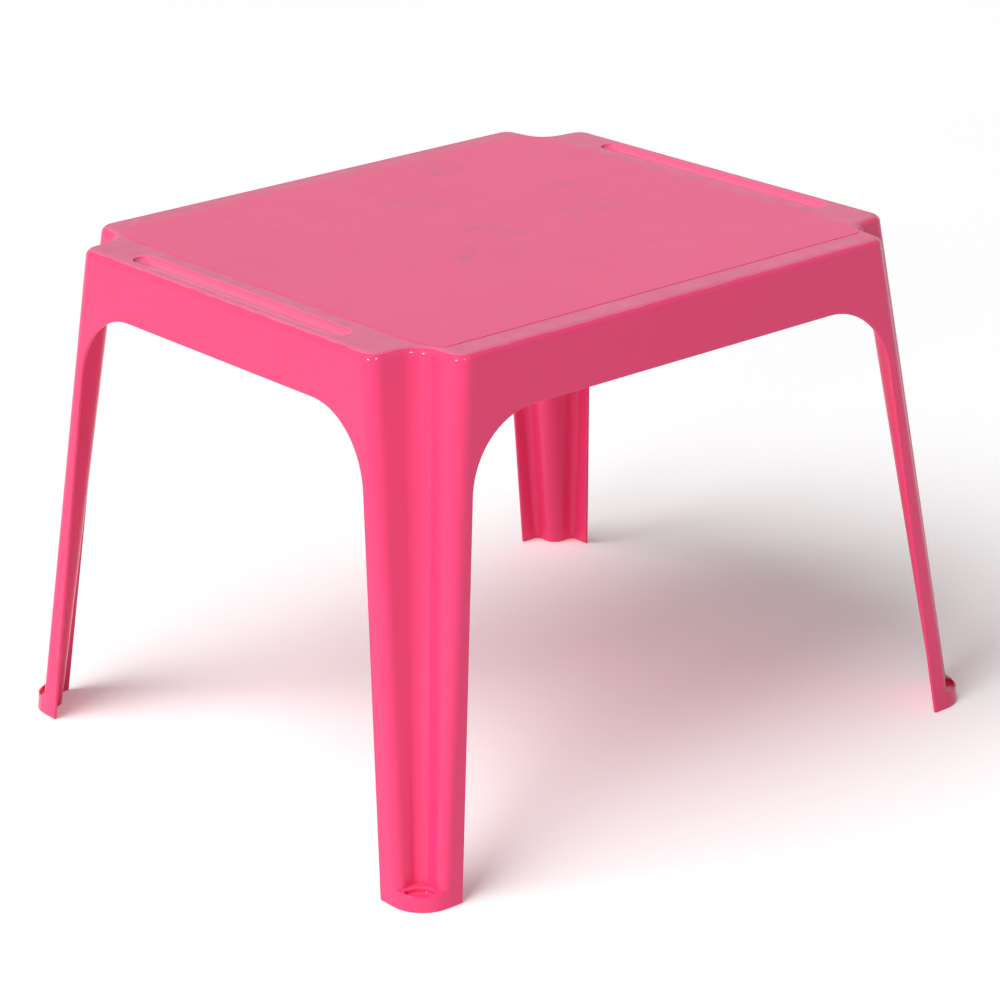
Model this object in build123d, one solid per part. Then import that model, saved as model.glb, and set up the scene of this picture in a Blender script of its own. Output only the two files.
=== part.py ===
"""Child's stackable table, moulded in one shot of pink polypropylene.

Frame: origin on the floor under the middle of the table, +X along the long side, +Z up.
The ends (at -X and +X) carry the two pen trays; the front is at -Y.
Every outer face of the aprons and legs leans outwards by the same amount on the way down,
so the whole table is one thin shell drawn over a tapered core.
The shell is divided where its named regions meet, face to face and with no gap.
"""
import os
from math import hypot

from build123d import *

# overall
HEIGHT = 449.5            # floor to the border of the table top
TOP_LENGTH = 578.0        # end face to end face, in the plane of the top
TOP_WIDTH = 508.0         # front face to back face, in the plane of the top
FLARE = 0.08              # outward lean of the faces, per millimetre of drop
WALL = 3.0                # aprons and legs
RIM_RADIUS = 7.5          # rounded edge all round the top
ROOT_RADIUS = 4.0         # the same edge on the hollow side
RIM_DEPTH = 10.0          # the rim region ends a little under its rounded edge

# corners: each one is cut back by a two-sided flute that runs down the leg
NOTCH_TOP = 45.5          # flute depth behind the two faces, at the top
NOTCH_FLOOR = 25.0        # the same at the floor
SLANT_TOP = 6.5           # each side of the flute opens out by this much at the top, and not at the floor
LOBE_TOP = 15.0           # rounded outer edges beside the flute
LOBE_FLOOR = 8.0
FLUTE_TOP = 20.5          # rounded inner corner of the flute
FLUTE_FLOOR = 9.0

# openings between the legs, seen on each face
END_LEG_EDGE = 240.5      # leg edge from the centre line, at the floor, on the end faces
END_LEG_TAPER = 0.120     # it moves inwards by this much per millimetre of height
END_APRON_BOTTOM = 398.0
SIDE_LEG_EDGE = 278.0     # the same on the front and back faces
SIDE_LEG_TAPER = 0.126
SIDE_APRON_BOTTOM = 395.0
ARCH_RADIUS = 70.0
END_SPLIT = 130.0         # where the straight aprons meet the arched legs
SIDE_SPLIT = 166.0

# top
BORDER_THICKNESS = 4.0
PANEL_LENGTH = 485.0
PANEL_WIDTH = 455.0
PANEL_RISE = 0.5          # the panel stands this much above the border
PANEL_CORNER_X = 10.0     # corners cut off the panel, where the flutes come close
PANEL_CORNER_Y = 27.0

# pen trays
TRAY_CENTRE = 268.0       # from the middle of the table, along X
TRAY_LENGTH = 292.0
TRAY_WIDTH = 20.0
TRAY_DEPTH = 5.0
TRAY_WALL = 2.5

# ribs under the top
RIB_THICKNESS = 2.0
RIB_DEPTH = 12.0
LONG_RIB_PITCH = 126.0
CROSS_RIB_PITCH = 142.5

# toes: the pads that fill the flutes at the floor
TOE_CORNER_RADIUS = 31.0
TOE_INSET = 0.3
TOE_HEIGHT = 14.0         # at the middle of its dish
TOE_TILT = 15.0           # the pad's top rises towards the leg, degrees
TOE_CENTRE_INSET = 21.5   # middle of the dish, behind both faces at the floor
DISH_RADIUS = 13.5
DISH_DEPTH = 4.0

REACH = 800.0             # half size of a cutting block that is larger than the table
CLEAR = 10.0              # how far a cutting tool runs past what it cuts
TOUCH = 0.01              # two places closer than this are the same place
PLATE_BOTTOM = HEIGHT - BORDER_THICKNESS
RIM_BOTTOM = HEIGHT - RIM_DEPTH

CORNERS = {
    "front_left": (-1, -1),
    "front_right": (1, -1),
    "back_left": (-1, 1),
    "back_right": (1, 1),
}


def at_height(top, floor, z):
    """A size that changes evenly from the floor to the top."""
    return floor + (top - floor) * z / HEIGHT


def half_sizes(z):
    """Half the length and width of the outer faces at height z."""
    spread = FLARE * (HEIGHT - z)
    return TOP_LENGTH / 2 + spread, TOP_WIDTH / 2 + spread


def flute_cut(z, inset):
    """Inner corner and one mouth corner of the flute at +X +Y, at height z, inset behind the surface."""
    half_x, half_y = half_sizes(z)
    notch = at_height(NOTCH_TOP, NOTCH_FLOOR, z)
    slant = at_height(SLANT_TOP, 0.0, z)
    side = hypot(notch, slant)
    depth = notch + inset * side / (notch + slant)
    mouth = notch + slant + inset * (side - slant) / notch
    return (half_x - depth, half_y - depth), mouth, slant / notch


def fluted_plan(z, inset=0.0):
    """Plan of the shell at height z: a rectangle with a flute in each corner."""
    full_x, full_y = half_sizes(z)
    half_x, half_y = full_x - inset, full_y - inset
    (inner_x, inner_y), mouth, slope = flute_cut(z, inset)
    end_y, side_x = full_y - mouth, full_x - mouth
    plan = Rectangle(2 * half_x, 2 * half_y)
    for sign_x, sign_y in CORNERS.values():
        cut = [
            (inner_x, inner_y),
            (half_x + CLEAR, end_y - slope * CLEAR),
            (half_x + CLEAR, half_y + CLEAR),
            (side_x - slope * CLEAR, half_y + CLEAR),
        ]
        points = [(sign_x * x, sign_y * y) for x, y in cut]
        plan -= Polygon(*points[:: sign_x * sign_y], align=None)
    inner = [v for v in plan.vertices() if same_place(v, inner_x, inner_y)]
    plan = fillet(inner, at_height(FLUTE_TOP, FLUTE_FLOOR, z) + inset)
    outer = [
        v for v in plan.vertices() if same_place(v, half_x, end_y) or same_place(v, side_x, half_y)
    ]
    return Pos(0, 0, z) * fillet(outer, at_height(LOBE_TOP, LOBE_FLOOR, z) - inset)


def same_place(vertex, x, y):
    """True at a place in the plan and at its mirror images."""
    return abs(abs(vertex.X) - x) < TOUCH and abs(abs(vertex.Y) - y) < TOUCH


def leg_opening(leg_edge, taper, apron_bottom):
    """Arched opening between two legs, drawn in a vertical plane (X across, Y up)."""
    low = leg_edge + taper * CLEAR
    high = leg_edge - taper * apron_bottom
    plan = Polygon((-low, -CLEAR), (low, -CLEAR), (high, apron_bottom), (-high, apron_bottom), align=None)
    crown = plan.vertices().sort_by(Axis.Y)[-2:]
    return fillet(crown, ARCH_RADIUS)


def block(x0, x1, y0, y1, z0, z1):
    """Box between two corners."""
    box = Box(x1 - x0, y1 - y0, z1 - z0, align=(Align.MIN, Align.MIN, Align.MIN))
    return Pos(x0, y0, z0) * box


def slot(length, width, z0, z1):
    """Round-ended slot along Y, as a solid."""
    plan = Rot(0, 0, 90) * SlotOverall(length, width)
    return extrude(Pos(0, 0, z0) * plan, z1 - z0)


def outer_body():
    """The outside of the table as a solid block with a rounded rim."""
    body = loft([fluted_plan(0.0), fluted_plan(HEIGHT)], ruled=True)
    rim = body.faces().sort_by(Axis.Z)[-1].edges()
    return fillet(rim, RIM_RADIUS)


def inner_core():
    """The hollow under the top, one wall thickness inside the faces."""
    core = loft([fluted_plan(-CLEAR, WALL), fluted_plan(PLATE_BOTTOM, WALL)], ruled=True)
    rim = core.faces().sort_by(Axis.Z)[-1].edges()
    return fillet(rim, ROOT_RADIUS)


def panel_outline():
    """Plan of the central panel, with its corners cut off beside the flutes."""
    half_x, half_y = PANEL_LENGTH / 2, PANEL_WIDTH / 2
    cut_x, cut_y = half_x - PANEL_CORNER_X, half_y - PANEL_CORNER_Y
    return Polygon(
        (half_x, -cut_y), (half_x, cut_y), (cut_x, half_y), (-cut_x, half_y),
        (-half_x, cut_y), (-half_x, -cut_y), (-cut_x, -half_y), (cut_x, -half_y),
        align=None,
    )


def panel():
    """Central panel, a little higher than the border round it."""
    return extrude(Pos(0, 0, PLATE_BOTTOM) * panel_outline(), BORDER_THICKNESS + PANEL_RISE)


def tray(side):
    """Pen tray trough hanging under the border."""
    place = Pos(side * TRAY_CENTRE, 0, 0)
    floor = HEIGHT - TRAY_DEPTH
    shell = slot(TRAY_LENGTH + 2 * TRAY_WALL, TRAY_WIDTH + 2 * TRAY_WALL, floor - TRAY_WALL, PLATE_BOTTOM)
    return place * (shell - slot(TRAY_LENGTH, TRAY_WIDTH, floor, HEIGHT))


def border(body, core):
    """Border with the rounded rim, open for the panel and the two trays."""
    below, above = PLATE_BOTTOM - CLEAR, HEIGHT + CLEAR
    ring = body & block(-REACH, REACH, -REACH, REACH, RIM_BOTTOM, above)
    ring -= core
    ring -= extrude(Pos(0, 0, below) * panel_outline(), above - below)
    for side in (-1, 1):
        ring -= Pos(side * TRAY_CENTRE, 0, 0) * slot(TRAY_LENGTH, TRAY_WIDTH, below, above)
    return ring


def skirt(body, core):
    """Aprons and legs in one, under the rim, with the arched openings cut through."""
    walls = body & block(-REACH, REACH, -REACH, REACH, 0, RIM_BOTTOM)
    walls -= core
    end_opening = leg_opening(END_LEG_EDGE, END_LEG_TAPER, END_APRON_BOTTOM)
    side_opening = leg_opening(SIDE_LEG_EDGE, SIDE_LEG_TAPER, SIDE_APRON_BOTTOM)
    walls -= extrude(Plane.YZ * end_opening, REACH, both=True)
    walls -= extrude(Plane.XZ * side_opening, REACH, both=True)
    return walls


def aprons(walls):
    """The four straight walls under the rim, between the legs."""
    return {
        "apron_front": walls & block(-SIDE_SPLIT, SIDE_SPLIT, -REACH, 0, 0, HEIGHT),
        "apron_back": walls & block(-SIDE_SPLIT, SIDE_SPLIT, 0, REACH, 0, HEIGHT),
        "apron_left": walls & block(-REACH, 0, -END_SPLIT, END_SPLIT, 0, HEIGHT),
        "apron_right": walls & block(0, REACH, -END_SPLIT, END_SPLIT, 0, HEIGHT),
    }


def corner_block(side_x, side_y):
    """Everything outside the two split planes, at one corner."""
    x = sorted((side_x * SIDE_SPLIT, side_x * REACH))
    y = sorted((side_y * END_SPLIT, side_y * REACH))
    return block(*x, *y, -CLEAR, HEIGHT)


def toe_plan(z):
    """Plan of the foot at height z, with plain rounded corners instead of flutes."""
    half_x, half_y = half_sizes(z)
    plan = Rectangle(2 * (half_x - TOE_INSET), 2 * (half_y - TOE_INSET))
    return Pos(0, 0, z) * fillet(plan.vertices(), TOE_CORNER_RADIUS)


def toe(body, side_x, side_y):
    """Pad that fills the flute at the floor, with a round dish in its sloping top."""
    half_x, half_y = half_sizes(0)
    centre_x = side_x * (half_x - TOE_CENTRE_INSET)
    centre_y = side_y * (half_y - TOE_CENTRE_INSET)
    outward = Vector(side_x, side_y, 0).normalized()
    normal = Vector(0, 0, 1).rotate(Axis((0, 0, 0), outward.cross(Vector(0, 0, 1))), -TOE_TILT)
    top = Plane(origin=(centre_x, centre_y, TOE_HEIGHT), z_dir=normal)
    pad = loft([toe_plan(0), toe_plan(2 * TOE_HEIGHT)], ruled=True)
    pad &= corner_block(side_x, side_y)
    pad -= top * Box(REACH, REACH, REACH, align=(Align.CENTER, Align.CENTER, Align.MIN))
    pad -= top * Cylinder(DISH_RADIUS, 2 * DISH_DEPTH)
    pad -= body
    return pad


def ribs(core):
    """Ribs under the top: three along the table, and three across in pieces between them."""
    top, bottom = PLATE_BOTTOM, PLATE_BOTTOM - RIB_DEPTH
    end = TRAY_CENTRE - TRAY_WIDTH / 2 - TRAY_WALL
    half = RIB_THICKNESS / 2
    long_ribs, cross_ribs = {}, {}
    for name, step in (("front", -1), ("middle", 0), ("back", 1)):
        y = step * LONG_RIB_PITCH
        long_ribs[f"rib_long_{name}"] = block(-end, end, y - half, y + half, bottom, top)
    for name, step in (("left", -1), ("middle", 0), ("right", 1)):
        x = step * CROSS_RIB_PITCH
        rib = block(x - half, x + half, -REACH, REACH, bottom, top) & core
        for long_rib in long_ribs.values():
            rib -= long_rib
        cross_ribs[f"rib_cross_{name}"] = rib
    return long_ribs | cross_ribs


def build():
    """Every named region of the table."""
    body, core = outer_body(), inner_core()
    walls = skirt(body, core)
    nodes = {
        "top_panel": panel(),
        "top_border": border(body, core),
        "pen_tray_left": tray(-1),
        "pen_tray_right": tray(1),
    }
    nodes |= aprons(walls)
    for name, (side_x, side_y) in CORNERS.items():
        nodes[f"leg_{name}"] = walls & corner_block(side_x, side_y)
        nodes[f"toe_{name}"] = toe(body, side_x, side_y)
    nodes |= ribs(core)
    return nodes


os.makedirs("parts", exist_ok=True)
for node, shape in build().items():
    export_step(shape, f"parts/{node}.step")
    print(node, round(shape.volume), len(shape.solids()))
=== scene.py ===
"""Looks of the child's one-piece plastic table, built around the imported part.

Each piece is a closed mesh that stands for the CAD node of the same region of the moulding.
Neighbouring pieces meet where the moulding is flat or ruled, so that no seam shows.
Sizes are in metres, in the frame of the part: +X along the table, +Z up, the floor at zero.
"""
import math

import bmesh
import bpy
from mathutils import Matrix, Vector
from mathutils.geometry import delaunay_2d_cdt


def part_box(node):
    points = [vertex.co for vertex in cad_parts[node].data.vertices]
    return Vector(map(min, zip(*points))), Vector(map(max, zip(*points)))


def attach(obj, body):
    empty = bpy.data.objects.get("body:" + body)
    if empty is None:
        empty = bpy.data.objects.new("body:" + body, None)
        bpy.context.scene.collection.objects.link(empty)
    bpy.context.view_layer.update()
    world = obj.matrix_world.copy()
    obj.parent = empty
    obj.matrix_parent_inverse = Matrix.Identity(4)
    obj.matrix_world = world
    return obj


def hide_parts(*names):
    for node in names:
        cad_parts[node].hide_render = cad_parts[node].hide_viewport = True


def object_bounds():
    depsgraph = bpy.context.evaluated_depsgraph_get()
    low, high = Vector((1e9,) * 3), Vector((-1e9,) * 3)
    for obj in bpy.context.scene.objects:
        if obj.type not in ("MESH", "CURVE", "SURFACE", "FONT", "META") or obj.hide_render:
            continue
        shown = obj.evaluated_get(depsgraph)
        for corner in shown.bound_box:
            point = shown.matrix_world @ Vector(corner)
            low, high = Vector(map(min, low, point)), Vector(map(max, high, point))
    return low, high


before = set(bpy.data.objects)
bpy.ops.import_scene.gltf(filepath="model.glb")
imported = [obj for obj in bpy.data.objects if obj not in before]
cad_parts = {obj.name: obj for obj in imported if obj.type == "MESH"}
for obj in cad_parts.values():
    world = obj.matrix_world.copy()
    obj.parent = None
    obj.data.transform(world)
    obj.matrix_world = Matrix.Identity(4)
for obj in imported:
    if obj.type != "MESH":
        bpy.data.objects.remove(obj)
CAD_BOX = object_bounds()

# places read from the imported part
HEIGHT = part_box("top_border")[1].z
FOOT_X, FOOT_Y = CAD_BOX[1].x, CAD_BOX[1].y
RIM_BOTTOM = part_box("top_border")[0].z
PLATE_BOTTOM, PANEL_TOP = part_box("top_panel")[0].z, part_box("top_panel")[1].z
PANEL_X, PANEL_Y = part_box("top_panel")[1].x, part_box("top_panel")[1].y
TRAY_LOW, TRAY_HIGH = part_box("pen_tray_right")
END_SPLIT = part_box("apron_right")[1].y
SIDE_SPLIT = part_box("apron_back")[1].x
END_APRON_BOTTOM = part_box("apron_right")[0].z
SIDE_APRON_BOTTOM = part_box("apron_back")[0].z

# the shell
FLARE = 0.08              # outward lean of the faces, per metre of drop
WALL = 0.003
RIM_RADIUS = 0.0075
NOTCH_TOP, NOTCH_FLOOR = 0.0455, 0.025
SLANT_TOP = 0.0065        # each side of the flute opens out by this much at the top
LOBE_TOP, LOBE_FLOOR = 0.015, 0.008
FLUTE_TOP, FLUTE_FLOOR = 0.0205, 0.009
END_LEG_EDGE, END_LEG_TAPER = 0.2405, 0.120
SIDE_LEG_EDGE, SIDE_LEG_TAPER = 0.278, 0.126
ARCH_RADIUS = 0.070
SPRING = 0.330            # height of the last level row of the legs, just under the arches
EDGE_RADIUS = 0.0011      # rounding of every free edge of the legs and aprons
EDGE_ROWS = (0.0004, 0.004, 0.015)   # rows kept close to an edge, so that its shading stays there
ROOT_RADIUS = 0.004       # inner corner under the rim

# the top
PANEL_CORNER_X, PANEL_CORNER_Y = 0.010, 0.027
PANEL_CORNER_RADIUS = 0.006
PANEL_EDGE = 0.0004       # rounded edge of the raised panel
TRAY_WALL = 0.0025
LIP_RADIUS = 0.0012       # rounded edge round each tray
TROUGH_REACH = 0.0075     # how far the curved wall of each tray reaches in
SAG = 0.0015              # how far the middle of the top hangs below its rim

# the toes
TOE_CORNER_RADIUS = 0.031
TOE_INSET = 0.0003
TOE_FRONT, TOE_BACK = 0.0135, 0.0170   # height of the lip at the outer corner and at the leg
TOE_NEAR, TOE_FAR = 0.0091, 0.0224     # how far those two places lie behind both faces
TOE_MIDDLE = 0.0152       # middle of the recess, behind both faces
TOE_FLOOR = 0.0108        # floor of the recess
TOE_DEEP, TOE_WIDE = 0.0058, 0.0125    # half sizes of the recess
TOE_EDGE = 0.0014         # rounding of the lip
TOE_SPAN = 0.020          # height between the two outlines that the sides of a toe pass through
TOE_LAP = 0.001           # how far short of the start of each lobe a toe ends
TOE_SHARP, TOE_SOFT = 0.0003, 0.002    # its corners on the faces, and behind them

# the ribs
RIB_FOOT = 0.0015         # rounded corners where a rib meets the plate
RIB_TIP = 0.0006
RIB_SINK = 0.0004         # how far a rib reaches into the plate

# how finely curves and long straights are cut
CORNER_STEPS = 10
PANEL_CORNER_STEPS = 4
TOE_CORNER_STEPS = 16
EDGE_STEPS = 5
ARCH_STEPS = 24
RIM_STEPS = 14
LONG_CUTS, SHORT_CUTS = 48, 40
PANEL_SHORT_CUTS = 44
TRAY_CUTS = 28
TRAY_STEPS_ABOVE, TRAY_STEPS_BELOW = 5, 9   # of its wall, above and below the underside of the border
BORDER_PITCH, PANEL_PITCH = 0.010, 0.012   # grid of points inside the level parts of the top
FILL_GAP = 0.004                       # and how close those points come to an outline
LEG_ROWS, WING_ROWS = 24, 9            # rows of a leg up to SPRING, and from there to the rim
WING_SHARES = (0, 0.03, 0.12, 0.3, 0.5, 0.7, 0.88, 1)   # closer together beside an edge or a curve

QUADRANTS = {
    "front_left": (-1, -1),
    "front_right": (1, -1),
    "back_left": (-1, 1),
    "back_right": (1, 1),
}
GLOSS, FROST, TRAY = 0, 1, 2   # material slots of the border
SLIVER = 2e-9             # flat triangles smaller than this (square metres) are left out
SAME = 1e-9               # two heights closer than this are the same height


# ---------------------------------------------------------------- mesh helpers

class Shape:
    """Collects the points and faces of one closed piece."""

    def __init__(self):
        self.points, self.faces, self.finishes = [], [], []

    def face(self, corners, finish=0):
        start = len(self.points)
        self.points += [tuple(p) for p in corners]
        self.faces.append(tuple(range(start, start + len(corners))))
        self.finishes.append(finish)

    def grid(self, rows, finish=0, closed=False):
        """Quads between neighbouring rows of points. A closed row joins its ends."""
        for lower, upper in zip(rows, rows[1:]):
            count = len(lower)
            for i in range(count if closed else count - 1):
                j = (i + 1) % count
                self.face((lower[i], lower[j], upper[j], upper[i]), finish)

    def mirrored(self, sign_x, sign_y):
        other = Shape()
        other.points = [(x * sign_x, y * sign_y, z) for x, y, z in self.points]
        other.faces, other.finishes = list(self.faces), list(self.finishes)
        return other

    def moved(self, move):
        """The same faces with every point changed by move."""
        other = Shape()
        other.points = [move(*p) for p in self.points]
        other.faces, other.finishes = list(self.faces), list(self.finishes)
        return other

    def build(self, name, materials, slot, *nodes):
        """Makes the Blender object, welded, with its faces outwards, riding on the table."""
        mesh = bpy.data.meshes.new(name)
        bm = bmesh.new()
        verts = [bm.verts.new(p) for p in self.points]
        for face, finish in zip(self.faces, self.finishes):
            bm.faces.new([verts[i] for i in face]).material_index = finish
        bmesh.ops.remove_doubles(bm, verts=bm.verts, dist=2e-6)
        bmesh.ops.dissolve_degenerate(bm, edges=bm.edges, dist=1e-6)
        bmesh.ops.recalc_face_normals(bm, faces=bm.faces)
        open_edges = sum(1 for e in bm.edges if len(e.link_faces) != 2)
        if open_edges:
            print(f"{name}: {open_edges} open edges")
        bm.to_mesh(mesh)
        bm.free()
        mesh.shade_smooth()
        mesh.set_sharp_from_angle(angle=math.radians(40))
        for material in materials:
            mesh.materials.append(material)
        piece = bpy.data.objects.new(name, mesh)
        bpy.context.scene.collection.objects.link(piece)
        weighted = piece.modifiers.new("even_shading", "WEIGHTED_NORMAL")
        weighted.keep_sharp = True
        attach(piece, "root")
        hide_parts(*nodes)
        return piece


def mix(a, b, share):
    return a + (b - a) * share


def steps(a, b, count):
    """count + 1 even values from a to b."""
    return [mix(a, b, i / count) for i in range(count + 1)]


def arc_angles(start, end, count):
    return [math.radians(d) for d in steps(start, end, count)]


def rounded_loop(corners, inset=0.0, spans=None, cuts=CORNER_STEPS):
    """Points of a closed outline with rounded corners, moved inwards by inset.

    corners are (x, y, radius), anticlockwise. spans says how many parts the straight after each
    corner has, where it has more than one.
    """
    points, count = [], len(corners)
    for i, (x, y, radius) in enumerate(corners):
        here = Vector((x, y))
        before = (here - Vector(corners[i - 1][:2])).normalized()
        after = (Vector(corners[(i + 1) % count][:2]) - here).normalized()
        turn = math.atan2(before.cross(after), before.dot(after))
        side = 1 if turn > 0 else -1
        inward = Vector((-before.y, before.x))
        split = (inward + Vector((-after.y, after.x))) / (1 + before.dot(after))
        bend = radius - side * inset
        centre = here + split * (inset + side * bend)
        for angle in steps(0, turn, cuts):
            points.append(centre - side * bend * (Matrix.Rotation(angle, 2) @ inward))
    if not spans:
        return points
    whole = []
    for i in range(count):
        whole += points[i * (cuts + 1):(i + 1) * (cuts + 1)]
        start, end = whole[-1], points[((i + 1) * (cuts + 1)) % len(points)]
        whole += [start.lerp(end, k / spans[i]) for k in range(1, spans[i])]
    return whole


def at(points, z):
    """Plan points lifted to one height."""
    return [(p[0], p[1], z) for p in points]


def inside(point, loop):
    """True where a point is within a closed outline."""
    x, y = point
    crossings = False
    for a, b in zip(loop, loop[1:] + loop[:1]):
        if (a[1] > y) != (b[1] > y) and x < a[0] + (b[0] - a[0]) * (y - a[1]) / (b[1] - a[1]):
            crossings = not crossings
    return crossings


def near_loop(point, loop, gap):
    """True where a point is closer than gap to an outline."""
    here = Vector(point)
    for a, b in zip(loop, loop[1:] + loop[:1]):
        along = b - a
        share = min(max((here - a).dot(along) / max(along.length_squared, 1e-12), 0), 1)
        if (a + along * share - here).length_squared < gap * gap:
            return True
    return False


def fill(shape, outline, holes, z, finish=0, pitch=BORDER_PITCH):
    """Fills a level region between an outline and its holes with even triangles."""
    loops = [outline, *holes]
    points, edges = [], []
    for loop in loops:
        start = len(points)
        points += [Vector(p) for p in loop]
        edges += [(start + i, start + (i + 1) % len(loop)) for i in range(len(loop))]
    reach_x = max(abs(p[0]) for p in outline)
    reach_y = max(abs(p[1]) for p in outline)
    columns, rows = math.ceil(2 * reach_x / pitch), math.ceil(2 * reach_y / pitch)
    for x in steps(-reach_x, reach_x, columns):
        for y in steps(-reach_y, reach_y, rows):
            if not inside((x, y), outline) or any(inside((x, y), hole) for hole in holes):
                continue
            if not any(near_loop((x, y), loop, FILL_GAP) for loop in loops):
                points.append(Vector((x, y)))
    flat, _, faces, *_ = delaunay_2d_cdt(points, edges, [], 0, 1e-7)
    for face in faces:
        a, b, c = (flat[i] for i in face)
        if abs((b - a).cross(c - a)) < SLIVER:
            continue
        middle = (a + b + c) / 3
        if inside(middle, outline) and not any(inside(middle, hole) for hole in holes):
            shape.face([(flat[i].x, flat[i].y, z) for i in face], finish)


# ---------------------------------------------------------------- outlines of the table

def at_height(top, floor, z):
    return floor + (top - floor) * z / HEIGHT


def half_sizes(z):
    return FOOT_X - FLARE * z, FOOT_Y - FLARE * z


def corner_sizes(z):
    """Depth of the flute, radius of the lobes beside it, and radius of its inner corner."""
    return (
        at_height(NOTCH_TOP, NOTCH_FLOOR, z),
        at_height(LOBE_TOP, LOBE_FLOOR, z),
        at_height(FLUTE_TOP, FLUTE_FLOOR, z),
    )


def quarter_corners(z):
    """The three rounded corners of the plan in the quarter of +X and +Y, anticlockwise."""
    half_x, half_y = half_sizes(z)
    notch, lobe, flute = corner_sizes(z)
    mouth = notch + at_height(SLANT_TOP, 0, z)
    return [
        (half_x, half_y - mouth, lobe),
        (half_x - notch, half_y - notch, flute),
        (half_x - mouth, half_y, lobe),
    ]


def flute_columns(z, inset=0.0):
    """Plan points from one face of a leg, round both lobes and the flute, to the other face."""
    half_x, half_y = half_sizes(z)
    others = [(-half_x, half_y, 0.0), (-half_x, -half_y, 0.0), (half_x, -half_y, 0.0)]
    loop = rounded_loop(quarter_corners(z) + others, inset, [2, 2, 1, 1, 1, 1])
    return loop[:3 * (CORNER_STEPS + 1) + 2]


def four_quarters(quarter):
    """The corners of a whole outline, from those in the quarter of +X and +Y, anticlockwise."""
    corners = []
    for sign_x, sign_y in ((1, 1), (-1, 1), (-1, -1), (1, -1)):
        turned = [(sign_x * x, sign_y * y, radius) for x, y, radius in quarter]
        corners += turned if sign_x * sign_y > 0 else turned[::-1]
    return corners


def table_loop(z, inset=0.0):
    """The whole plan outline of the table at height z."""
    return rounded_loop(four_quarters(quarter_corners(z)), inset, [2, 2, LONG_CUTS, 2, 2, SHORT_CUTS] * 2)


def panel_loop(inset=0.0):
    """Outline of the central panel, with its corners cut off beside the flutes."""
    quarter = [
        (PANEL_X, PANEL_Y - PANEL_CORNER_Y, PANEL_CORNER_RADIUS),
        (PANEL_X - PANEL_CORNER_X, PANEL_Y, PANEL_CORNER_RADIUS),
    ]
    spans = [2, LONG_CUTS, 2, PANEL_SHORT_CUTS] * 2
    return rounded_loop(four_quarters(quarter), inset, spans, PANEL_CORNER_STEPS)


def tray_loop(side, inset=0.0):
    """Outline of one pen tray: a slot with round ends."""
    middle = (TRAY_LOW.x + TRAY_HIGH.x) / 2 * side
    half_x = (TRAY_HIGH.x - TRAY_LOW.x) / 2 - TRAY_WALL
    half_y = (TRAY_HIGH.y - TRAY_LOW.y) / 2 - TRAY_WALL
    corners = [
        (middle + half_x, half_y, half_x), (middle - half_x, half_y, half_x),
        (middle - half_x, -half_y, half_x), (middle + half_x, -half_y, half_x),
    ]
    return rounded_loop(corners, inset, [1, TRAY_CUTS, 1, TRAY_CUTS])


def sagging(x, y, z):
    """Lowers the middle of the top a little; the outline of the rim and all below it stay put."""
    half_x, half_y = half_sizes(HEIGHT)
    if z < RIM_BOTTOM + WALL / 10:
        return (x, y, z)
    droop = SAG * max(0.0, 1 - (x / half_x) ** 2) * max(0.0, 1 - (y / half_y) ** 2)
    return (x, y, z - droop)


# ---------------------------------------------------------------- legs and aprons

class Face:
    """One outer face of the table in the quarter of +X and +Y, in its own coordinates.

    A place on it is (across, z, inset): the distance from the middle of the face, the height, and
    how far it lies behind the outer surface.
    """

    def __init__(self, on_end):
        self.on_end = on_end
        self.edge = END_LEG_EDGE if on_end else SIDE_LEG_EDGE
        self.taper = END_LEG_TAPER if on_end else SIDE_LEG_TAPER
        self.bottom = END_APRON_BOTTOM if on_end else SIDE_APRON_BOTTOM
        self.split = END_SPLIT if on_end else SIDE_SPLIT
        self.slope = math.hypot(1, self.taper)
        self.arch_z = self.bottom - ARCH_RADIUS
        self.arch_across = self.edge - self.taper * self.arch_z - ARCH_RADIUS * self.slope

    def point(self, across, z, inset):
        half_x, half_y = half_sizes(z)
        return (half_x - inset, across, z) if self.on_end else (across, half_y - inset, z)

    def between(self, near, far, share, inset):
        """The point at a share of the way from near to far, both (across, z)."""
        return self.point(mix(near[0], far[0], share), mix(near[1], far[1], share), inset)

    def lobe_line(self, z):
        """Where the flat of the face ends and the lobe begins."""
        half_x, half_y = half_sizes(z)
        notch, lobe, _ = corner_sizes(z)
        slant = at_height(SLANT_TOP, 0, z)
        turn = math.pi / 2 - math.atan(slant / notch)
        return (half_y if self.on_end else half_x) - notch - slant - lobe * math.tan(turn / 2)

    def leg_stations(self, heights):
        """Places from the floor to the seam with the apron, as (near, way, far).

        near is a point beside the free edge, far is the point opposite it, and way is the direction
        across the edge, into the opening.
        """
        out = (-1 / self.slope, -self.taper / self.slope)
        stations = []
        for z in [h for h in heights if h <= SPRING + SAME]:
            across = self.edge - self.taper * z + EDGE_RADIUS * self.slope
            stations.append(((across, z), out, (self.lobe_line(z), z)))
        upper = [h for h in heights if h > SPRING + SAME]
        top = heights[-1]
        spread = steps(self.lobe_line(top), self.arch_across, ARCH_STEPS - len(upper) + 1)
        opposite = [(self.lobe_line(h), h) for h in upper] + [(a, top) for a in spread[1:]]
        angles = steps(math.atan(self.taper), math.pi / 2, ARCH_STEPS)
        radius = ARCH_RADIUS + EDGE_RADIUS
        for angle, far in zip(angles, opposite):
            way = (math.cos(angle), math.sin(angle))
            near = (self.arch_across + radius * way[0], self.arch_z + radius * way[1])
            stations.append((near, (-way[0], -way[1]), far))
        stations.append(((self.split, self.bottom + EDGE_RADIUS), (0, -1), (self.split, top)))
        return stations


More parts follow.
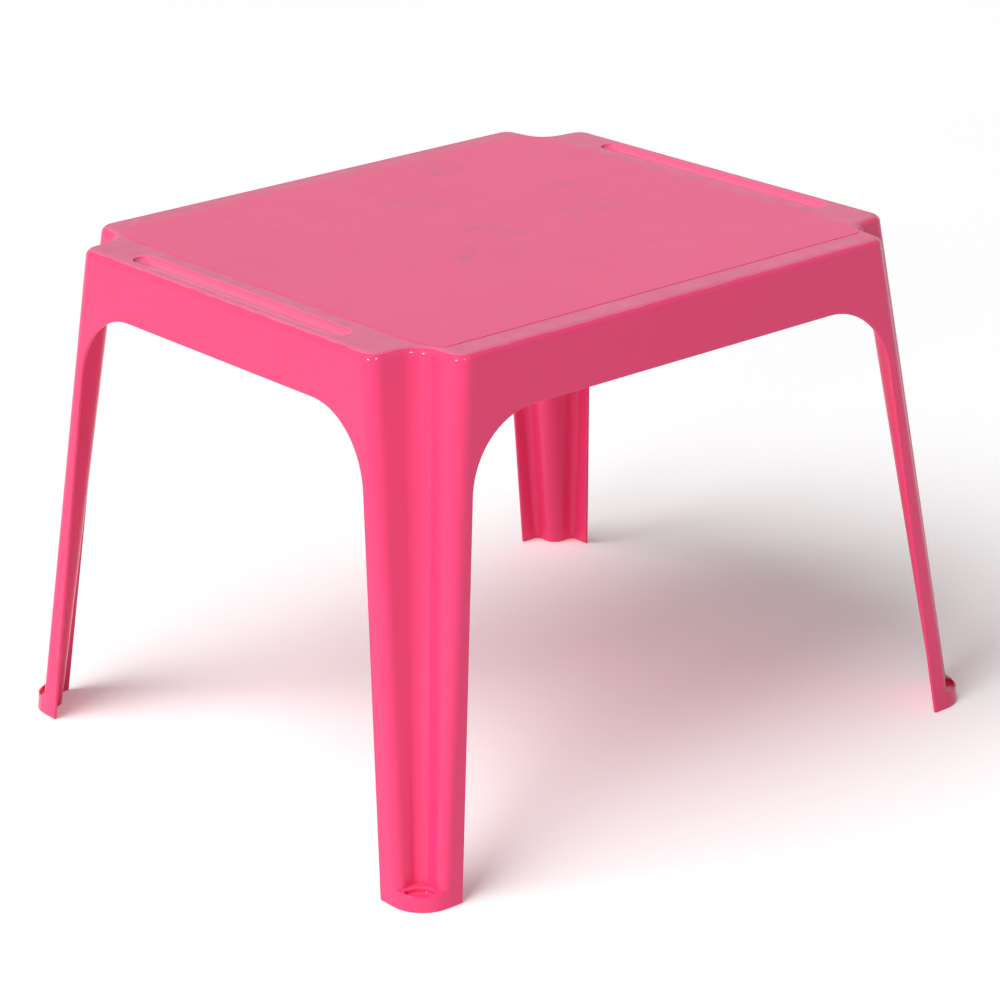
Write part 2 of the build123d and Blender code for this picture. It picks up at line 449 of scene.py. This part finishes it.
def edge_profile():
    """(reach, inset) pairs round a free edge of the wall, from the outer surface to the inner one."""
    rounding = [(math.sin(a), 1 - math.cos(a)) for a in arc_angles(0, 90, EDGE_STEPS)]
    outer = [(s * EDGE_RADIUS, c * EDGE_RADIUS) for s, c in rounding]
    return outer + [(reach, WALL - inset) for reach, inset in reversed(outer)]


def apron(on_end):
    """The straight wall between two legs on one side of the table."""
    face, shape = Face(on_end), Shape()
    profile = [(face.bottom + EDGE_RADIUS - reach, inset) for reach, inset in edge_profile()]
    rises = [*EDGE_ROWS, RIM_BOTTOM - face.bottom - EDGE_RADIUS]
    outer = [(face.bottom + EDGE_RADIUS + rise, 0.0) for rise in reversed(rises)]
    inner = [(z, WALL) for z, _ in reversed(outer)]
    section = outer + profile + inner
    places = steps(-face.split, face.split, SHORT_CUTS)
    rows = [[face.point(across, z, inset) for z, inset in section] for across in places]
    shape.grid(rows, closed=True)
    shape.face(rows[0])
    shape.face(rows[-1])
    return shape


def wing(shape, face, heights):
    """Adds the part of a leg that lies on one face of the table, with its free edge and its foot."""
    profile = edge_profile()
    stations = face.leg_stations(heights)
    for inset in (0.0, WALL):
        shape.grid([[face.between(near, far, s, inset) for s in WING_SHARES] for near, _, far in stations])

    def rounding(base, way):
        """Points round the edge that starts at base and turns towards way."""
        return [
            face.point(base[0] + way[0] * reach, base[1] + way[1] * reach, inset)
            for reach, inset in profile
        ]

    along_edge = [rounding(near, way) for near, way, _ in stations]
    foot, out, _ = stations[0]
    turn = steps(math.atan2(out[1], out[0]) + 2 * math.pi, 1.5 * math.pi, EDGE_STEPS)
    shape.grid(along_edge)
    shape.grid([rounding(foot, (math.cos(angle), math.sin(angle))) for angle in turn])
    low = [(EDGE_RADIUS - reach, inset) for reach, inset in profile]
    shape.grid([
        [face.point(mix(foot[0], face.lobe_line(z), s), z, inset) for z, inset in low] for s in WING_SHARES
    ])

    near, _, far = stations[-1]
    seam, back = ([face.between(near, far, s, inset) for s in WING_SHARES] for inset in (0.0, WALL))
    shape.face(seam[::-1] + along_edge[-1][1:-1] + back)
    under_rim = [far for _, _, far in stations if abs(far[1] - RIM_BOTTOM) < SAME]
    shape.grid([[face.point(*place, inset) for place in under_rim] for inset in (0.0, WALL)])


def leg():
    """A leg with its flute and the two arched wings that join it to the aprons."""
    shape = Shape()
    near_edge, low, first = EDGE_ROWS
    heights = [EDGE_RADIUS, EDGE_RADIUS + near_edge, low, *steps(first, SPRING, LEG_ROWS)]
    heights += steps(SPRING, RIM_BOTTOM, WING_ROWS)[1:]
    for on_end in (True, False):
        wing(shape, Face(on_end), heights)

    def columns(z, inset):
        return at(flute_columns(z, inset), z)

    shape.grid([columns(z, 0.0) for z in heights])
    shape.grid([columns(z, WALL) for z in heights])
    shape.grid([columns(RIM_BOTTOM, 0.0), columns(RIM_BOTTOM, WALL)])
    shape.grid([columns(EDGE_RADIUS - reach, inset) for reach, inset in edge_profile()])
    return shape


# ---------------------------------------------------------------- top

def border():
    """The rounded rim and the flat frame round the panel and the trays."""
    shape = Shape()
    lean = math.atan(FLARE)
    centre_z = HEIGHT - RIM_RADIUS
    centre_inset = RIM_RADIUS / math.cos(lean)
    rows = [at(table_loop(z), z) for z in steps(RIM_BOTTOM, centre_z, 2)]
    for angle in steps(lean, math.pi / 2, RIM_STEPS):
        inset = centre_inset - RIM_RADIUS * math.cos(angle)
        rows.append(at(table_loop(centre_z, inset), centre_z + RIM_RADIUS * math.sin(angle)))
    shape.grid(rows, FROST, closed=True)
    top_loop = table_loop(centre_z, centre_inset)

    root_z = PLATE_BOTTOM - ROOT_RADIUS
    rows = [at(table_loop(z, WALL), z) for z in steps(RIM_BOTTOM, root_z, 2)]
    for angle in arc_angles(0, 90, EDGE_STEPS)[1:]:
        inset = WALL + ROOT_RADIUS * (1 - math.cos(angle))
        rows.append(at(table_loop(root_z, inset), root_z + ROOT_RADIUS * math.sin(angle)))
    shape.grid(rows, GLOSS, closed=True)
    under_loop = table_loop(root_z, WALL + ROOT_RADIUS)
    shape.grid([at(table_loop(RIM_BOTTOM), RIM_BOTTOM), at(table_loop(RIM_BOTTOM, WALL), RIM_BOTTOM)],
               GLOSS, closed=True)

    shape.grid([at(panel_loop(), HEIGHT), at(panel_loop(), PLATE_BOTTOM)], FROST, closed=True)

    # the upper walls of the trays take the paler tray plastic: painted light
    for side in (-1, 1):
        shape.grid([at(tray_loop(side, inset), z) for inset, z in tray_wall() if z > PLATE_BOTTOM - SAME],
                   TRAY, closed=True)

    lips = [tray_loop(side, tray_wall()[0][0]) for side in (-1, 1)]
    pits = [tray_loop(side, plate_inset()) for side in (-1, 1)]
    fill(shape, top_loop, [panel_loop(), *lips], HEIGHT, FROST)
    fill(shape, under_loop, [panel_loop(), *pits], PLATE_BOTTOM, GLOSS)
    return shape


def panel():
    """The central panel, standing a little above the border."""
    shape = Shape()
    rows = [at(panel_loop(), PLATE_BOTTOM)]
    for angle in arc_angles(0, 90, EDGE_STEPS):
        inset = PANEL_EDGE * (1 - math.cos(angle))
        rows.append(at(panel_loop(inset), PANEL_TOP - PANEL_EDGE * (1 - math.sin(angle))))
    shape.grid(rows, closed=True)
    fill(shape, panel_loop(PANEL_EDGE), [], PANEL_TOP, pitch=PANEL_PITCH)
    fill(shape, panel_loop(), [], PLATE_BOTTOM, pitch=PANEL_PITCH)
    return shape


def tray_wall():
    """(inset, height) pairs down the wall of a tray: a rounded lip, then one long curve."""
    floor = TRAY_LOW.z + TRAY_WALL
    depth = HEIGHT - LIP_RADIUS / 2 - floor
    lip = [
        (-LIP_RADIUS * (1 - math.sin(a)), HEIGHT - LIP_RADIUS / 2 * (1 - math.cos(a)))
        for a in arc_angles(0, 90, EDGE_STEPS)
    ]
    start = math.asin((HEIGHT - LIP_RADIUS / 2 - PLATE_BOTTOM) / depth)
    angles = steps(0, start, TRAY_STEPS_ABOVE)[1:] + steps(start, math.pi / 2, TRAY_STEPS_BELOW)[1:]
    return lip + [
        (TROUGH_REACH * (1 - math.cos(a)), HEIGHT - LIP_RADIUS / 2 - depth * math.sin(a)) for a in angles
    ]


def plate_inset():
    """How far in the wall of a tray has come at the underside of the border."""
    return next(inset for inset, z in tray_wall() if z < PLATE_BOTTOM + SAME)


def tray(side):
    """The trough of a pen tray, under the plate."""
    shape = Shape()
    half_width = (TRAY_HIGH.x - TRAY_LOW.x) / 2 - TRAY_WALL
    inner = [at(tray_loop(side, inset), z) for inset, z in tray_wall() if z < PLATE_BOTTOM + SAME]
    floor = TRAY_LOW.z + TRAY_WALL
    inner += [at(tray_loop(side, mix(TROUGH_REACH, half_width, s)), floor) for s in (0.5, 1)]
    shape.grid(inner, closed=True)
    outer = [at(tray_loop(side, inset), PLATE_BOTTOM) for inset in (plate_inset(), -TRAY_WALL)]
    drop = PLATE_BOTTOM - TRAY_LOW.z
    for angle in arc_angles(0, 90, EDGE_STEPS + 2)[1:]:
        inset = TROUGH_REACH * (1 - math.cos(angle)) - TRAY_WALL
        outer.append(at(tray_loop(side, inset), PLATE_BOTTOM - drop * math.sin(angle)))
    outer += [
        at(tray_loop(side, mix(TROUGH_REACH - TRAY_WALL, half_width, s)), TRAY_LOW.z) for s in (0.5, 1)
    ]
    shape.grid(outer, closed=True)
    return shape


# ---------------------------------------------------------------- ribs and toes

def rib(low, high, along_x):
    """A rib under the top, with a rounded tip and rounded corners at the plate."""
    shape = Shape()
    half = (high.y - low.y if along_x else high.x - low.x) / 2
    middle = (high.y + low.y if along_x else high.x + low.x) / 2
    section = [(half + RIB_FOOT, PLATE_BOTTOM + RIB_SINK)]
    section += [
        (half + RIB_FOOT * (1 - math.sin(a)), PLATE_BOTTOM - RIB_FOOT * (1 - math.cos(a)))
        for a in arc_angles(0, 90, EDGE_STEPS)
    ]
    section += [
        (half - RIB_TIP * (1 - math.cos(a)), low.z + RIB_TIP * (1 - math.sin(a)))
        for a in arc_angles(0, 90, EDGE_STEPS)
    ]
    section += [(-across, z) for across, z in reversed(section)]
    start, end = (low.x, high.x) if along_x else (low.y, high.y)
    rows = []
    for place in steps(start, end, LONG_CUTS):
        ring = [(middle + across, z) for across, z in section]
        rows.append([(place, aside, z) if along_x else (aside, place, z) for aside, z in ring])
    shape.grid(rows, closed=True)
    shape.face(rows[0])
    shape.face(rows[-1])
    return shape


def toe_outline(z):
    """Plan of a toe: the rounded corner of the foot outside, the middle of the leg's wall inside."""
    half_x, half_y = half_sizes(z)
    notch, lobe, flute = corner_sizes(z)
    face_x, face_y = half_x - TOE_INSET, half_y - TOE_INSET
    wall_x, wall_y = half_x - notch - WALL / 2, half_y - notch - WALL / 2
    return rounded_loop([
        (face_x, face_y, TOE_CORNER_RADIUS - TOE_INSET),
        (half_x - notch - lobe + TOE_LAP, face_y, TOE_SHARP),
        (wall_x, half_y - lobe, TOE_SOFT),
        (wall_x, wall_y, flute + WALL / 2),
        (half_x - lobe, wall_y, TOE_SOFT),
        (face_x, half_y - notch - lobe + TOE_LAP, TOE_SHARP),
    ], cuts=TOE_CORNER_STEPS)


def toe():
    """The pad in the foot of a flute: a rounded, rising lip round a recess."""
    shape = Shape()
    half_x, half_y = half_sizes(0)
    middle = Vector((half_x - TOE_MIDDLE, half_y - TOE_MIDDLE))
    corner = Vector((half_x, half_y))
    low, high = toe_outline(0), toe_outline(TOE_SPAN)
    edge = TOE_EDGE

    def around(z, inset):
        """Outline at height z, drawn in towards the middle of the recess."""
        points = [a.lerp(b, z / TOE_SPAN) for a, b in zip(low, high)]
        return [p + (middle - p).normalized() * inset for p in points]

    def recess(grow):
        """Oval of the recess, with one point towards each point of the outline."""
        points = []
        for p in low:
            way = (p - middle).normalized()
            outward, aside = (way.x + way.y) / math.sqrt(2), (way.x - way.y) / math.sqrt(2)
            radius = 1 / math.hypot(outward / TOE_DEEP, aside / TOE_WIDE)
            points.append(middle + way * (radius + grow))
        return points

    def crest(p):
        """Height of the lip, which rises towards the leg."""
        behind = (corner.x - p.x + corner.y - p.y) / 2
        share = (behind - TOE_NEAR) / (TOE_FAR - TOE_NEAR)
        return mix(TOE_FRONT, TOE_BACK, min(max(share, 0), 1))

    def under_crest(points, drop):
        return [(p.x, p.y, crest(p) - drop) for p in points]

    rows = [
        at(around(0, edge / 2), 0.0),
        at(around(edge / 4, edge / 8), edge / 4),
        at(around(edge, 0), edge),
    ]
    rounding = [(edge * (1 - math.cos(a)), edge * (1 - math.sin(a))) for a in arc_angles(0, 90, EDGE_STEPS)]
    rows += [under_crest(around(TOE_FRONT, inset), drop) for inset, drop in rounding]
    lip = [a.lerp(b, 0.5) for a, b in zip(around(TOE_FRONT, edge), recess(edge))]
    rows.append(under_crest(lip, -edge / 8))
    rows += [under_crest(recess(grow), drop) for drop, grow in rounding]
    rows += [at(recess(-shrink), TOE_FLOOR + rise) for shrink, rise in rounding]
    shape.grid(rows, closed=True)
    shape.face(rows[0])
    shape.face(rows[-1])
    return shape


# ---------------------------------------------------------------- materials

PINK = (0.83, 0.046, 0.166)
# the trays: the same gloss plastic made paler, painted light standing in for the light the trays catch
LIT_TRAY_PINK = (0.84, 0.120, 0.270)
PANEL_PINK = (0.77, 0.050, 0.180)
FROST_PINK = (0.70, 0.150, 0.260)

# worn places on the panel: the middle of each (x, y), then its reach in x and in y
SMUDGES = (
    (0.000, 0.108, 0.050, 0.035),
    (0.085, 0.190, 0.070, 0.030),
    (0.005, 0.000, 0.060, 0.035),
    (0.030, 0.040, 0.035, 0.020),
    (-0.060, -0.042, 0.045, 0.030),
    (-0.100, -0.040, 0.030, 0.020),
    (-0.005, -0.052, 0.040, 0.022),
    (0.145, 0.064, 0.060, 0.030),
    (0.115, -0.005, 0.050, 0.030),
    (0.100, -0.022, 0.040, 0.020),
)
RING = (0.066, 0.090, 0.012)   # a round mark: its middle (x, y) and its radius


class Finish:
    """A node material with a Principled shader, and short calls for the nodes it uses."""

    def __init__(self, name):
        self.material = bpy.data.materials.new(name)
        self.material.use_nodes = True
        self.tree = self.material.node_tree
        self.shader = self.tree.nodes["Principled BSDF"]
        self.shader.inputs["IOR"].default_value = 1.49
        self.shader.inputs["Specular IOR Level"].default_value = 0.35
        self.place = self.node("ShaderNodeTexCoord").outputs["Object"]

    def node(self, kind, **settings):
        made = self.tree.nodes.new(kind)
        for key, value in settings.items():
            setattr(made, key, value)
        return made

    def link(self, output, socket):
        if isinstance(output, bpy.types.NodeSocket):
            self.tree.links.new(output, socket)
        else:
            socket.default_value = output

    def noise(self, scale, detail=3.0, roughness=0.5, stretch=(1, 1, 1)):
        """Soft random values about one half."""
        mapped = self.node("ShaderNodeMapping")
        self.link(self.place, mapped.inputs["Vector"])
        mapped.inputs["Scale"].default_value = stretch
        made = self.node("ShaderNodeTexNoise")
        self.link(mapped.outputs["Vector"], made.inputs["Vector"])
        made.inputs["Scale"].default_value = scale
        made.inputs["Detail"].default_value = detail
        made.inputs["Roughness"].default_value = roughness
        return made.outputs["Fac"]

    def remap(self, value, low, high, to_low=0.0, to_high=1.0):
        made = self.node("ShaderNodeMapRange", interpolation_type="SMOOTHSTEP")
        for key, v in (("Value", value), ("From Min", low), ("From Max", high),
                       ("To Min", to_low), ("To Max", to_high)):
            self.link(v, made.inputs[key])
        return made.outputs["Result"]

    def math(self, operation, a, b=0.0):
        made = self.node("ShaderNodeMath", operation=operation)
        self.link(a, made.inputs[0])
        self.link(b, made.inputs[1])
        return made.outputs["Value"]

    def squared_sum(self, across, along):
        """Square of the length that two steps at right angles make."""
        return self.math("ADD", self.math("MULTIPLY", across, across), self.math("MULTIPLY", along, along))

    def largest(self, values):
        total = values[0]
        for value in values[1:]:
            total = self.math("MAXIMUM", total, value)
        return total

    def band(self, value, middle, half):
        """One where the value is at the middle, falling to zero at half away from it."""
        away = self.math("ABSOLUTE", self.math("SUBTRACT", value, middle))
        return self.remap(away, 0.0, half, 1.0, 0.0)

    def patch(self, across, along, x, y, reach_x, reach_y):
        """One in the middle of an oval patch, falling to zero at its edge."""
        step_x = self.math("DIVIDE", self.math("SUBTRACT", across, x), reach_x)
        step_y = self.math("DIVIDE", self.math("SUBTRACT", along, y), reach_y)
        return self.remap(self.squared_sum(step_x, step_y), 0.0, 1.0, 1.0, 0.0)

    def blend(self, share, a, b):
        """Colour a where share is 0 and b where it is 1."""
        made = self.node("ShaderNodeMix", data_type="RGBA")
        self.link(share, made.inputs["Factor"])
        for value, socket in ((a, made.inputs["A"]), (b, made.inputs["B"])):
            self.link((*value, 1) if isinstance(value, tuple) else value, socket)
        return made.outputs["Result"]

    def mix_value(self, share, a, b):
        """Value a where share is 0 and b where it is 1."""
        made = self.node("ShaderNodeMix", data_type="FLOAT")
        self.link(share, made.inputs["Factor"])
        self.link(a, made.inputs["A"])
        self.link(b, made.inputs["B"])
        return made.outputs["Result"]

    def bump(self, height, distance, before=None):
        made = self.node("ShaderNodeBump")
        made.inputs["Distance"].default_value = distance
        self.link(height, made.inputs["Height"])
        if before:
            self.link(before, made.inputs["Normal"])
        return made.outputs["Normal"]


def scaled(colour, factor):
    return tuple(min(c * factor, 1.0) for c in colour)


def glossy(look, colour=PINK):
    """Colour, roughness and bump of the smooth moulded wall."""
    cloud = look.remap(look.noise(9.0, 2.0), 0.3, 0.7)
    tone = look.blend(cloud, scaled(colour, 0.985), scaled(colour, 1.01))
    rough = look.remap(look.noise(24.0, 3.0), 0.3, 0.7, 0.16, 0.20)
    return tone, rough, look.bump(look.noise(40.0, 2.0), 0.00002)


def frosted(look):
    """Colour and roughness of the finely frosted, paler border, with its fine streaks."""
    cloud = look.remap(look.noise(14.0, 4.0), 0.3, 0.7)
    streak = look.remap(look.noise(90.0, 3.0, 0.6, stretch=(0.25, 1, 1)), 0.35, 0.75)
    tone = look.blend(cloud, scaled(FROST_PINK, 0.97), scaled(FROST_PINK, 1.03))
    tone = look.blend(look.math("MULTIPLY", streak, 0.35), tone, scaled(FROST_PINK, 0.90))
    return tone, look.remap(look.noise(60.0, 4.0), 0.3, 0.7, 0.48, 0.6)


def gloss_plastic(name, colour):
    """Smooth moulded wall with a soft gloss."""
    look = Finish(name)
    tone, rough, normal = glossy(look, colour)
    look.link(tone, look.shader.inputs["Base Color"])
    look.link(rough, look.shader.inputs["Roughness"])
    look.link(normal, look.shader.inputs["Normal"])
    return look.material


def rim_plastic():
    """The border and its rim: frosted on the flat, glossy where the rim rounds off."""
    look = Finish("rim_pink_plastic")
    place = look.node("ShaderNodeSeparateXYZ")
    look.link(look.place, place.inputs["Vector"])
    wobble = look.remap(look.noise(45.0, 3.0), 0.3, 0.7, -0.0003, 0.0003)
    level = look.math("ADD", place.outputs["Z"], wobble)
    share = look.remap(level, HEIGHT - 0.0017, HEIGHT - 0.0006)
    tone, rough, normal = glossy(look)
    frost_tone, frost_rough = frosted(look)
    look.link(look.blend(share, tone, frost_tone), look.shader.inputs["Base Color"])
    look.link(look.mix_value(share, rough, frost_rough), look.shader.inputs["Roughness"])
    look.link(normal, look.shader.inputs["Normal"])
    return look.material


def sink_lines(look, across, along):
    """Faint broken lines over the ribs, where the plastic shrank as it cooled."""
    long_ribs = [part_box(f"rib_long_{name}") for name in ("front", "middle", "back")]
    cross_ribs = [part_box(f"rib_cross_{name}") for name in ("left", "middle", "right")]
    lines = [look.band(along, (low.y + high.y) / 2, 0.004) for low, high in long_ribs]
    lines += [look.band(across, (low.x + high.x) / 2, 0.004) for low, high in cross_ribs]
    return look.math("MULTIPLY", look.largest(lines), look.remap(look.noise(11.0, 2.0), 0.35, 0.6))


def scuffs(look, across, along):
    """Thin broken marks in the places that are worn."""
    marks = look.remap(look.noise(38.0, 6.0, 0.68), 0.50, 0.66)
    worn = look.largest([look.patch(across, along, *spot) for spot in SMUDGES])
    return look.math("MULTIPLY", marks, worn)


def foot_mark(look, across, along):
    """A broken ring, left by something round."""
    x, y, radius = RING
    away = look.squared_sum(look.math("SUBTRACT", across, x), look.math("SUBTRACT", along, y))
    ring = look.band(look.math("SQRT", away), radius, 0.0025)
    return look.math("MULTIPLY", ring, look.remap(look.noise(30.0, 3.0), 0.4, 0.6))


def satin_plastic():
    """The panel: satin, with faint sink lines and marks of use on its upper side; the sink lines are dented
    by bump and darkened in colour as painted shade.
    """
    look = Finish("satin_pink_plastic")
    cloud = look.remap(look.noise(7.0, 3.0), 0.3, 0.7)
    tone = look.blend(cloud, scaled(PANEL_PINK, 0.99), scaled(PANEL_PINK, 1.01))
    place = look.node("ShaderNodeSeparateXYZ")
    look.link(look.place, place.inputs["Vector"])
    across, along = place.outputs["X"], place.outputs["Y"]
    sink = sink_lines(look, across, along)
    wear_and_sink_shade = look.largest([
        # the sink lines darken the colour a little: painted shade of their shallow dips
        look.math("MULTIPLY", sink, 0.28),
        look.math("MULTIPLY", scuffs(look, across, along), 0.85),
        look.math("MULTIPLY", foot_mark(look, across, along), 0.45),
    ])
    on_top = look.remap(place.outputs["Z"], PLATE_BOTTOM + WALL / 3, PLATE_BOTTOM + WALL * 2 / 3)
    wear_and_sink_shade = look.math("MULTIPLY", wear_and_sink_shade, on_top)
    # darker where worn or marked, and over the sink lines as painted shade
    look.link(look.blend(wear_and_sink_shade, tone, scaled(PANEL_PINK, 0.74)), look.shader.inputs["Base Color"])
    rough = look.remap(look.noise(30.0, 4.0), 0.3, 0.7, 0.37, 0.39)
    look.link(look.math("ADD", rough, look.math("MULTIPLY", wear_and_sink_shade, -0.08)), look.shader.inputs["Roughness"])
    grain = look.bump(look.noise(900.0, 2.0), 0.00001)
    look.link(look.bump(look.math("MULTIPLY", sink, -1.0), 0.00006, grain), look.shader.inputs["Normal"])
    return look.material


# ---------------------------------------------------------------- the table

gloss = gloss_plastic("gloss_pink_plastic", PINK)
# paler gloss for the trays: painted light
trough = gloss_plastic("tray_pink_painted_light", LIT_TRAY_PINK)
satin, rim = satin_plastic(), rim_plastic()

whole_leg = leg()
whole_toe = toe()
for corner, (sign_x, sign_y) in QUADRANTS.items():
    whole_leg.mirrored(sign_x, sign_y).build(f"leg_{corner}_shell", [gloss], "gloss_shell", f"leg_{corner}")
    whole_toe.mirrored(sign_x, sign_y).build(f"toe_{corner}_pad", [gloss], "gloss_shell", f"toe_{corner}")

for name, on_end, signs in (
    ("right", True, (1, 1)), ("left", True, (-1, 1)), ("back", False, (1, 1)), ("front", False, (1, -1)),
):
    apron(on_end).mirrored(*signs).build(f"apron_{name}_wall", [gloss], "gloss_shell", f"apron_{name}")

border().moved(sagging).build("top_border_frame", [gloss, rim, trough], "frosted_border", "top_border")
panel().moved(sagging).build("top_panel_sheet", [satin], "satin_panel", "top_panel")
# each trough takes the paler tray plastic: painted light
for name, side in (("left", -1), ("right", 1)):
    tray(side).moved(sagging).build(f"pen_tray_{name}_trough", [trough], "gloss_shell", f"pen_tray_{name}")

for place in ("front", "middle", "back"):
    node = f"rib_long_{place}"
    rib(*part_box(node), along_x=True).build(f"{node}_web", [gloss], "underside", node)
for place in ("left", "middle", "right"):
    node = f"rib_cross_{place}"
    rib(*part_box(node), along_x=False).build(f"{node}_web", [gloss], "underside", node)


# ---------------------------------------------------------------- floor, light and camera

FLOOR_REACH = 6.0
FLOOR_DROP = 0.0002       # the floor lies just under the feet, so that the two never coincide
FLOOR_GLOW = 0.20         # lifts the floor towards the white of the photo


def floor():
    """A wide pale floor with a slight unevenness of tone."""
    shape = Shape()
    places = steps(-FLOOR_REACH, FLOOR_REACH, 24)
    shape.grid([[(x, y, -FLOOR_DROP) for x in places] for y in places])
    mesh = bpy.data.meshes.new("floor")
    mesh.from_pydata(shape.points, [], shape.faces)
    piece = bpy.data.objects.new("floor", mesh)
    bpy.context.scene.collection.objects.link(piece)
    look = Finish("pale_floor")
    tone = look.blend(look.noise(1.5, 2.0), (0.86, 0.86, 0.86), (0.88, 0.88, 0.88))
    look.link(tone, look.shader.inputs["Base Color"])
    look.shader.inputs["Roughness"].default_value = 0.8
    look.shader.inputs["Specular IOR Level"].default_value = 0.2
    look.shader.inputs["Emission Color"].default_value = (1, 1, 1, 1)
    look.shader.inputs["Emission Strength"].default_value = FLOOR_GLOW
    mesh.materials.append(look.material)


def lamp_object(name, data, way):
    """A lamp that shines along way."""
    lamp = bpy.data.objects.new(name, data)
    bpy.context.scene.collection.objects.link(lamp)
    lamp.rotation_euler = way.to_track_quat("-Z", "Y").to_euler()
    return lamp


def area_light(name, place, aim, size, power):
    """A square lamp at a place, turned towards its aim."""
    data = bpy.data.lights.new(name, "AREA")
    data.shape = "SQUARE"
    data.size = size
    data.energy = power
    lamp = lamp_object(name, data, Vector(aim) - Vector(place))
    lamp.location = place
    return lamp


def sun(name, from_way, strength, spread):
    """Broad even light from one side."""
    data = bpy.data.lights.new(name, "SUN")
    data.energy = strength
    data.angle = math.radians(spread)
    return lamp_object(name, data, -Vector(from_way))


def sky(strength):
    """A white surround. It lights matt colour at the given strength, and is seen at full strength."""
    world = bpy.data.worlds.new("studio")
    bpy.context.scene.world = world
    world.use_nodes = True
    shade = world.node_tree.nodes["Background"]
    shade.inputs["Color"].default_value = (1, 1, 1, 1)
    tree = world.node_tree
    rays = tree.nodes.new("ShaderNodeLightPath")
    shares = tree.nodes.new("ShaderNodeMapRange")
    shares.inputs["To Min"].default_value = 1.0
    shares.inputs["To Max"].default_value = strength
    tree.links.new(rays.outputs["Is Diffuse Ray"], shares.inputs["Value"])
    tree.links.new(shares.outputs["Result"], shade.inputs["Strength"])


VIEW_AZIMUTH, VIEW_ELEVATION, VIEW_ROLL = -39.669, 20.759, -1.101   # degrees
VIEW_DISTANCE = 3.1413    # metres, from the middle of the table
VIEW_ASIDE, VIEW_UP = 0.00736, -0.02534   # metres, how far the view is moved off that middle
VIEW_LENS, SENSOR = 126.1, 36.0           # millimetres


def camera():
    """The view of the photograph."""
    azimuth, elevation, roll = (math.radians(d) for d in (VIEW_AZIMUTH, VIEW_ELEVATION, VIEW_ROLL))
    ahead = Vector((
        -math.sin(azimuth) * math.cos(elevation),
        math.cos(azimuth) * math.cos(elevation),
        -math.sin(elevation),
    ))
    right = Vector((math.cos(azimuth), math.sin(azimuth), 0))
    up = right.cross(ahead)
    middle = Vector((0, 0, HEIGHT / 2))
    place = middle - ahead * VIEW_DISTANCE + right * VIEW_ASIDE + up * VIEW_UP
    turned_right = right * math.cos(roll) + up * math.sin(roll)
    turned_up = up * math.cos(roll) - right * math.sin(roll)
    data = bpy.data.cameras.new("camera")
    data.lens, data.sensor_width = VIEW_LENS, SENSOR
    data.clip_end = 50
    made = bpy.data.objects.new("camera", data)
    bpy.context.scene.collection.objects.link(made)
    axes = Matrix((turned_right, turned_up, -ahead)).transposed()
    made.matrix_world = Matrix.Translation(place) @ axes.to_4x4()
    bpy.context.scene.camera = made


# sun and fill light the colour, key and second only make highlights
floor()
sky(0.17)
sun("day", (-0.50, 0.03, 0.70), 2.8, 45).visible_glossy = False
area_light("fill", (-2.8, -1.25, 1.0), (0, 0, 0.3), 1.2, 26).visible_glossy = False
area_light("key", (-2.9, -0.9, 1.55), (0, 0, 0.4), 0.24, 40).visible_diffuse = False
area_light("second", (-1.1, -2.5, 2.4), (0, 0, 0.4), 0.20, 22).visible_diffuse = False
camera()
bpy.context.scene.view_settings.view_transform = "Standard"
